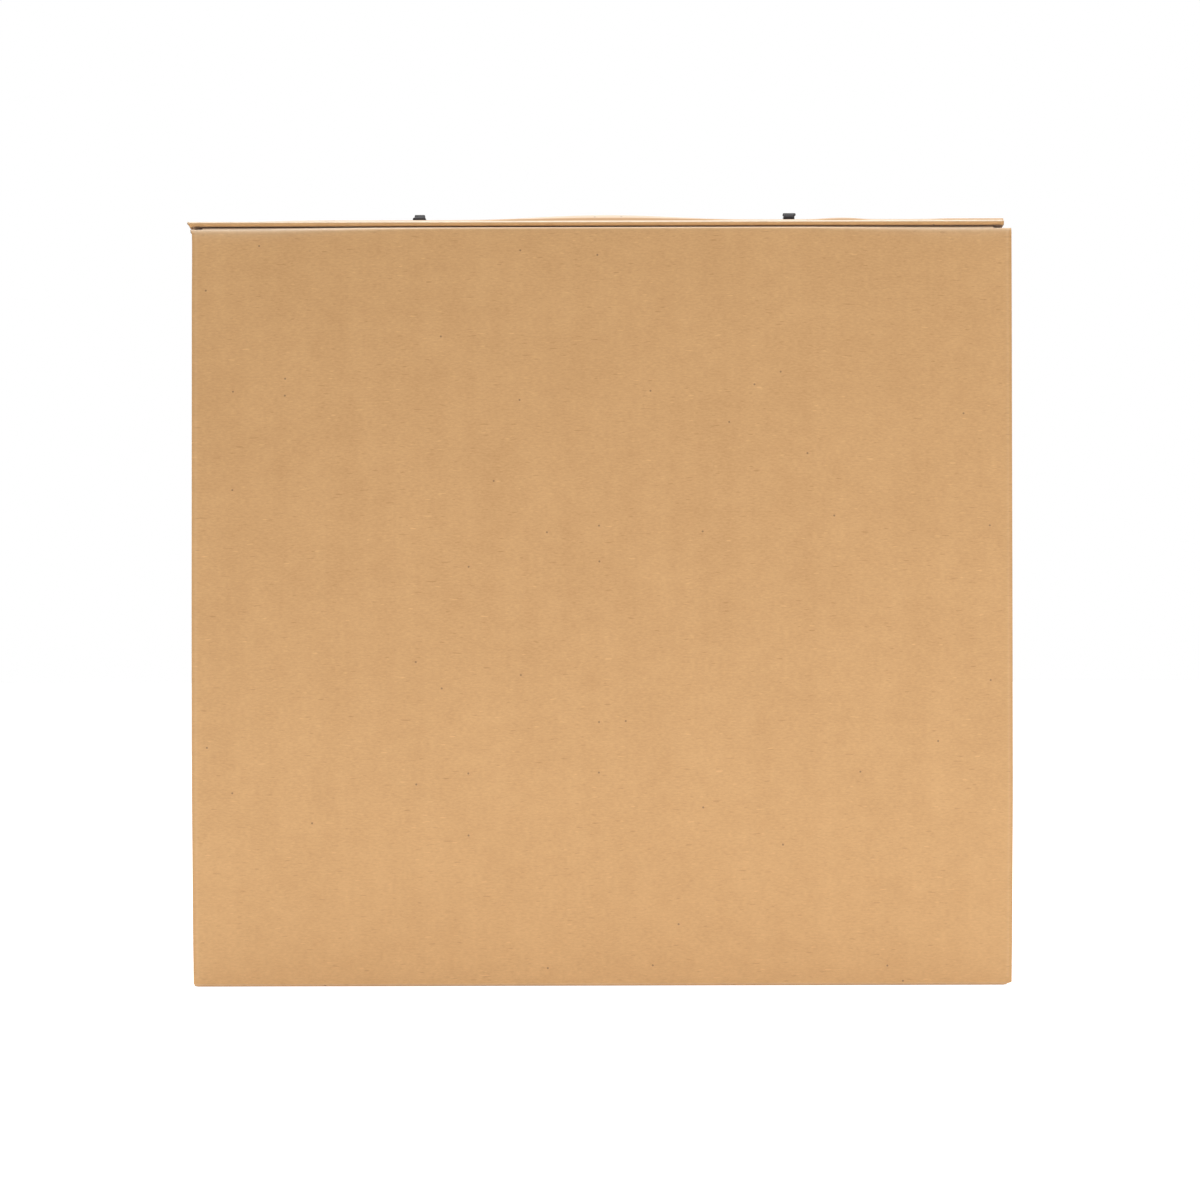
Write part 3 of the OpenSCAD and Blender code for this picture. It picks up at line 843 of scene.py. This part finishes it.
def noise(tree, vector, scale, detail=2.0, roughness=0.5):
    """Noise from about 0 to 1 at so many cells a metre."""
    inputs = {"Vector": vector, "Scale": scale, "Detail": detail, "Roughness": roughness}
    return node(tree, "ShaderNodeTexNoise", {}, inputs)


def bumped(tree, strength, distance, height):
    """A Bump node for the height."""
    return node(tree, "ShaderNodeBump", {}, {"Strength": strength, "Distance": distance, "Height": height})


def fresh_material(name, roughness):
    """A material with one Principled shader, and that shader."""
    material = bpy.data.materials.new(name)
    material.use_nodes = True
    shader = material.node_tree.nodes["Principled BSDF"]
    shader.inputs["Roughness"].default_value = roughness
    return material, shader


def feed(shader, **sockets):
    """Links values to the shader's sockets, whose names are given with _ for a space."""
    for name, value in sockets.items():
        value.tree.links.new(value.socket, shader.inputs[name.replace("_", " ")])


# %% [markdown]
# ## Kraft liner
#
# Kraft paper looks plain, but it has a slow mottle, faint streaks along the sheet, short fibres
# that all lie one way, and a few dark specks. The pattern reads the sheet UV map, so it runs round
# the folds as it does on real board. The fibres are a noise squeezed across the sheet. Two slow
# cosines along the sheet paint light and shade over it, lighter at the bottom of the lid than
# higher up. Where the painted light attribute is above 0, a painted highlight turns the paper
# pale and a thin coat makes it a little glossy. Where it is below 0, the paper is darker: painted
# shade and shadow in the creases, under the roll and at the floor, and a darker line along the
# cut edges.

# %% Kraft liner
KRAFT_DARK = (0.46, 0.244, 0.090)
KRAFT_LIGHT = (0.71, 0.423, 0.186)
# Cream for the painted highlights on folds and crests; the first share below sets how much is mixed in.
PAINTED_HIGHLIGHT = (0.97, 0.90, 0.74)
SPECK = (0.12, 0.06, 0.03)
HIGHLIGHT_SHARE, GLOSS_SHARE, SPECK_SHARE = 0.65, 0.9, 0.65
SPECK_CELLS = 95


def paper_specks(tree, sheet):
    """A dot at the middle of one Voronoi cell in sixteen, picked by the cell's random colour."""
    cell = node(tree, "ShaderNodeTexVoronoi", {"voronoi_dimensions": "2D"},
                {"Vector": sheet, "Scale": SPECK_CELLS})
    lot = node(tree, "ShaderNodeSeparateColor", {}, {"Color": cell.twin("Color")})
    return (1 - cell.above(0.025, 0.048)) * lot.above(0.935, 0.94)


def kraft_liner():
    """Brown paper: its tone, from dark to light, is 0.5 plus a share of each noise about its middle.

    Two cosines up the sheet paint light and shade, lighter at the bottom of the lid than higher up,
    fibres lift or lower the tone where their noise is high, and the painted light attribute lowers it
    where it is below 0. The painted highlight and specks are mixed over the result.
    """
    material, shader = fresh_material("kraft_liner", 0.62)
    shader.inputs["Sheen Weight"].default_value = 0.3
    shader.inputs["Sheen Roughness"].default_value = 0.35
    shader.inputs["Coat Roughness"].default_value = 0.3
    tree = material.node_tree
    sheet = node(tree, "ShaderNodeUVMap", {"uv_map": "sheet"})
    painted_light_and_tone = node(tree, "ShaderNodeAttribute", {"attribute_name": "painted_light_and_tone"}, {}, 2)
    cloud = noise(tree, sheet, 34, 3, 0.55)
    mottle = noise(tree, stretched(tree, sheet, (0.8, 1, 1)), 160, 3, 0.6)
    streak = noise(tree, stretched(tree, sheet, (1, 0.09, 1)), 90, 2)
    grain = noise(tree, stretched(tree, sheet, (0.35, 1, 1)), 1500, 2, 0.7)
    dark_fibre = noise(tree, stretched(tree, sheet, (0.16, 1, 1)), 1150, 1).above(0.68, 0.76)
    pale_fibre = noise(tree, stretched(tree, sheet, (0.2, 1.1, 1)), 900, 1).above(0.7, 0.78)
    # Painted light and shade: two slow cosines along the sheet make the lid lighter at the bottom and
    # darker from its middle up.
    turn = node(tree, "ShaderNodeSeparateXYZ", {}, {"Vector": sheet}, 1) * (math.pi / LID_TOP)
    painted_light_drift = turn.maths("COSINE") + (turn * 2).maths("COSINE") * 0.5
    tone = 0.5 + (cloud - 0.5) * 0.3 + (mottle - 0.5) * 0.35 + (streak - 0.5) * 0.22
    tone = tone + (grain - 0.5) * 0.8 + painted_light_drift * 0.11 - dark_fibre * 0.36 + pale_fibre * 0.36
    # Below 0 the painted light attribute darkens the paper: painted shade and shadow, and darker cut edges.
    paper = colours(tree, tone + painted_light_and_tone.maths("MINIMUM", 0), KRAFT_DARK, KRAFT_LIGHT)
    # Above 0 it mixes in the painted highlight and weights the gloss coat.
    tone_and_gloss = painted_light_and_tone.maths("MAXIMUM", 0)
    paper = colours(tree, tone_and_gloss * (0.8 + mottle * 0.4) * HIGHLIGHT_SHARE, paper, PAINTED_HIGHLIGHT)
    paper = colours(tree, paper_specks(tree, sheet) * SPECK_SHARE, paper, SPECK)
    height = grain * 0.6 + mottle * 0.4 + dark_fibre * 0.3 + pale_fibre * 0.4
    relief = bumped(tree, 0.25, 0.02 * MM, height)
    feed(shader, Base_Color=paper, Coat_Weight=tone_and_gloss * GLOSS_SHARE, Normal=relief)
    return material


# %% [markdown]
# ## Cut edges
#
# A cut across the flutes shows two thin liners and a wave between them; a cut along the flutes
# shows the two liners and a ragged gap. The hollows between the paper are painted dark, as
# painted shade. Both are drawn from the cut UV map, which holds the distance along the edge and
# the depth into the board.

# %% Cut edges
FLUTE = 2.4 * MM
LINER = 0.2 * MM
# The dark colour is painted shade for the hollow flutes; the light one is the paper's own.
HOLLOW_SHADE, EDGE_LIGHT = (0.16, 0.085, 0.035), (0.60, 0.36, 0.18)


def cut_edge(name, across_flutes):
    """A cut through the board: light within a liner's thickness of each face, painted shade between.

    Across the flutes, a sine of the distance along the edge gives the wavy paper in the middle.
    """
    material, shader = fresh_material(name, 0.85)
    tree = material.node_tree
    where = node(tree, "ShaderNodeUVMap", {"uv_map": "cut"})
    along = node(tree, "ShaderNodeSeparateXYZ", {}, {"Vector": where})
    ragged = noise(tree, where, 900, 2)
    depth = along.twin(1) + (ragged - 0.5) * 0.12 * MM
    from_middle = (depth - BOARD / 2).maths("ABSOLUTE")
    liner = from_middle.above(BOARD / 2 - LINER - 0.06 * MM, BOARD / 2 - LINER + 0.02 * MM)
    if across_flutes:
        wave = (along * (2 * math.pi / FLUTE)).maths("SINE") * (BOARD / 2 - LINER)
        off_wave = (depth - BOARD / 2 - wave).maths("ABSOLUTE")
        medium = 1 - off_wave.above(0.1 * MM, 0.2 * MM)
    else:
        medium = noise(tree, stretched(tree, where, (0.25, 1, 1)), 2200, 2).above(0.45, 0.7) * 0.6
    board = liner.maths("MAXIMUM", medium)
    relief = bumped(tree, 0.6, 0.25 * MM, board)
    feed(shader, Base_Color=colours(tree, board, HOLLOW_SHADE, EDGE_LIGHT), Normal=relief)
    return material


# %% [markdown]
# ## Black plastic
#
# A moulded handle is nearly black with a soft sheen. A fine spark-eroded texture breaks up the
# highlights, and rubbing has polished it a little unevenly.

# %% Black plastic
PLASTIC_DARK, PLASTIC_LIGHT = (0.006, 0.0045, 0.006), (0.015, 0.012, 0.015)


def black_plastic():
    """Nearly black: one slow noise drives both the shade and the roughness, a fine one the relief."""
    material, shader = fresh_material("black_plastic", 0.4)
    shader.inputs["Specular IOR Level"].default_value = 0.2
    tree = material.node_tree
    place = node(tree, "ShaderNodeTexCoord", {}, {}, 3)
    tone_and_gloss = noise(tree, place, 60, 3)
    pores = noise(tree, place, 3500, 2)
    relief = bumped(tree, 0.2, 0.03 * MM, pores)
    shade = colours(tree, tone_and_gloss, PLASTIC_DARK, PLASTIC_LIGHT)
    feed(shader, Base_Color=shade, Roughness=0.38 + tone_and_gloss * 0.16, Normal=relief)
    return material


# %% [markdown]
# ## Seat every piece
#
# Each piece rides on the body that its CAD node belongs to and stands for that node, so it turns
# with the joints. The crease rides on no body: it is left where it was built, at rest.

# %% Dress and seat every piece
board_finish = [kraft_liner(), cut_edge("flute_ends", True), cut_edge("flute_sides", False)]
plastic = black_plastic()

for piece in (case_wrap, *side_walls, lid_board, lid_crease):
    for material in board_finish:
        piece.data.materials.append(material)
for piece in (case_wrap, *side_walls):
    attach(piece, "case")
    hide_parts("case")
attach(lid_board, "lid")
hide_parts("lid")
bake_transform(lid_crease)

for name, piece in clips.items():
    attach(piece, "case")
    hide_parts(name)
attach(carry_handle, "handle")
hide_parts("handle")
for piece in (carry_handle, *clips.values()):
    piece.data.materials.append(plastic)

# %% [markdown]
# ## Studio and camera
#
# The photograph is taken dead-on from the front with a long lens, against pure white. The camera
# stands level with the middle of the case, a little rolled. The light is soft and comes from all
# round, a bit stronger from the lower right, so the panel brightens slowly in that direction. The
# world is white to the camera and to mirror rays, and only a third as strong to the object.

# %% Lamps, world and floor
WORLD_LIGHT = 0.33
FLOOR_HALF, FLOOR_GLOW = 6.0, 0.75


def area_lamp(name, place, target, size, power):
    """A soft lamp at place that looks at target, its size given as width and height."""
    lamp = bpy.data.lights.new(name, "AREA")
    lamp.shape = "RECTANGLE"
    lamp.energy = power
    lamp.size, lamp.size_y = size
    thing = bpy.data.objects.new(name, lamp)
    thing.location = place
    thing.rotation_euler = (Vector(target) - Vector(place)).to_track_quat("-Z", "Y").to_euler()
    thing.visible_camera = False
    bpy.context.scene.collection.objects.link(thing)
    print(name, power, "W")


def seen_directly(tree):
    """1 for the camera's rays, mirror rays and rays through glass, and 0 for diffuse light."""
    path = node(tree, "ShaderNodeLightPath")
    for ray in ("Is Glossy Ray", "Is Transmission Ray"):
        path = path.maths("MAXIMUM", Value(tree, tree.nodes["Light Path"].outputs[ray]))
    return path


def make_world():
    """World whose strength is 1 where it is seen directly and WORLD_LIGHT as a source of light."""
    world = bpy.data.worlds.new("studio")
    bpy.context.scene.world = world
    world.use_nodes = True
    background = world.node_tree.nodes["Background"]
    background.inputs["Color"].default_value = (1, 1, 1, 1)
    strength = WORLD_LIGHT + seen_directly(world.node_tree) * (1 - WORLD_LIGHT)
    world.node_tree.links.new(strength.socket, background.inputs["Strength"])


def make_floor():
    """White floor that glows to direct rays only, so it looks white and keeps the shadow."""
    h = FLOOR_HALF
    mesh = bpy.data.meshes.new("floor")
    mesh.from_pydata([(-h, -h, 0), (h, -h, 0), (h, h, 0), (-h, h, 0)], [], [(0, 1, 2, 3)])
    floor = bpy.data.objects.new("floor", mesh)
    bpy.context.scene.collection.objects.link(floor)
    material, shader = fresh_material("white_floor", 0.9)
    tree = material.node_tree
    shader.inputs["Base Color"].default_value = (0.95, 0.95, 0.95, 1)
    shader.inputs["Emission Strength"].default_value = 1
    feed(shader, Emission_Color=colours(tree, seen_directly(tree), (0, 0, 0), (FLOOR_GLOW,) * 3))
    mesh.materials.append(material)


make_world()
make_floor()
middle = (0, 0, TOP / 2)
area_lamp("key", (1.4, -1.4, 0.5), middle, (0.8, 0.8), 9)
area_lamp("low_strip", (0.3, -0.55, 0.05), (0.3, 0, 0.05), (2.0, 0.08), 2.25)
area_lamp("overhead", (0, 0.1, 0.95), (0, 0.1, 0), (0.9, 0.3), 5.7)
area_lamp("back", (-1.1, 1.7, 0.9), middle, (1.2, 1.2), 17)

# %% Camera
FRAME_PIXELS = 1200
PIXEL = 0.4029 * MM
CAMERA_AWAY, CAMERA_X, CAMERA_Z = 1.65, 0.14 * MM, 155.5 * MM
CAMERA_ROLL = math.radians(0.14)


def make_camera():
    """Level camera whose lens makes one pixel of the frame as wide as PIXEL on the lid's face."""
    data = bpy.data.cameras.new("camera")
    data.sensor_width = 36
    data.lens = data.sensor_width * CAMERA_AWAY / (FRAME_PIXELS * PIXEL)
    camera = bpy.data.objects.new("camera", data)
    camera.location = (CAMERA_X, FRONT - CAMERA_AWAY, CAMERA_Z)
    camera.rotation_euler = (math.radians(90), CAMERA_ROLL, 0)
    bpy.context.scene.collection.objects.link(camera)
    bpy.context.scene.camera = camera
    print("lens", round(data.lens, 1), "mm")


make_camera()
bpy.context.scene.view_settings.view_transform = "Standard"
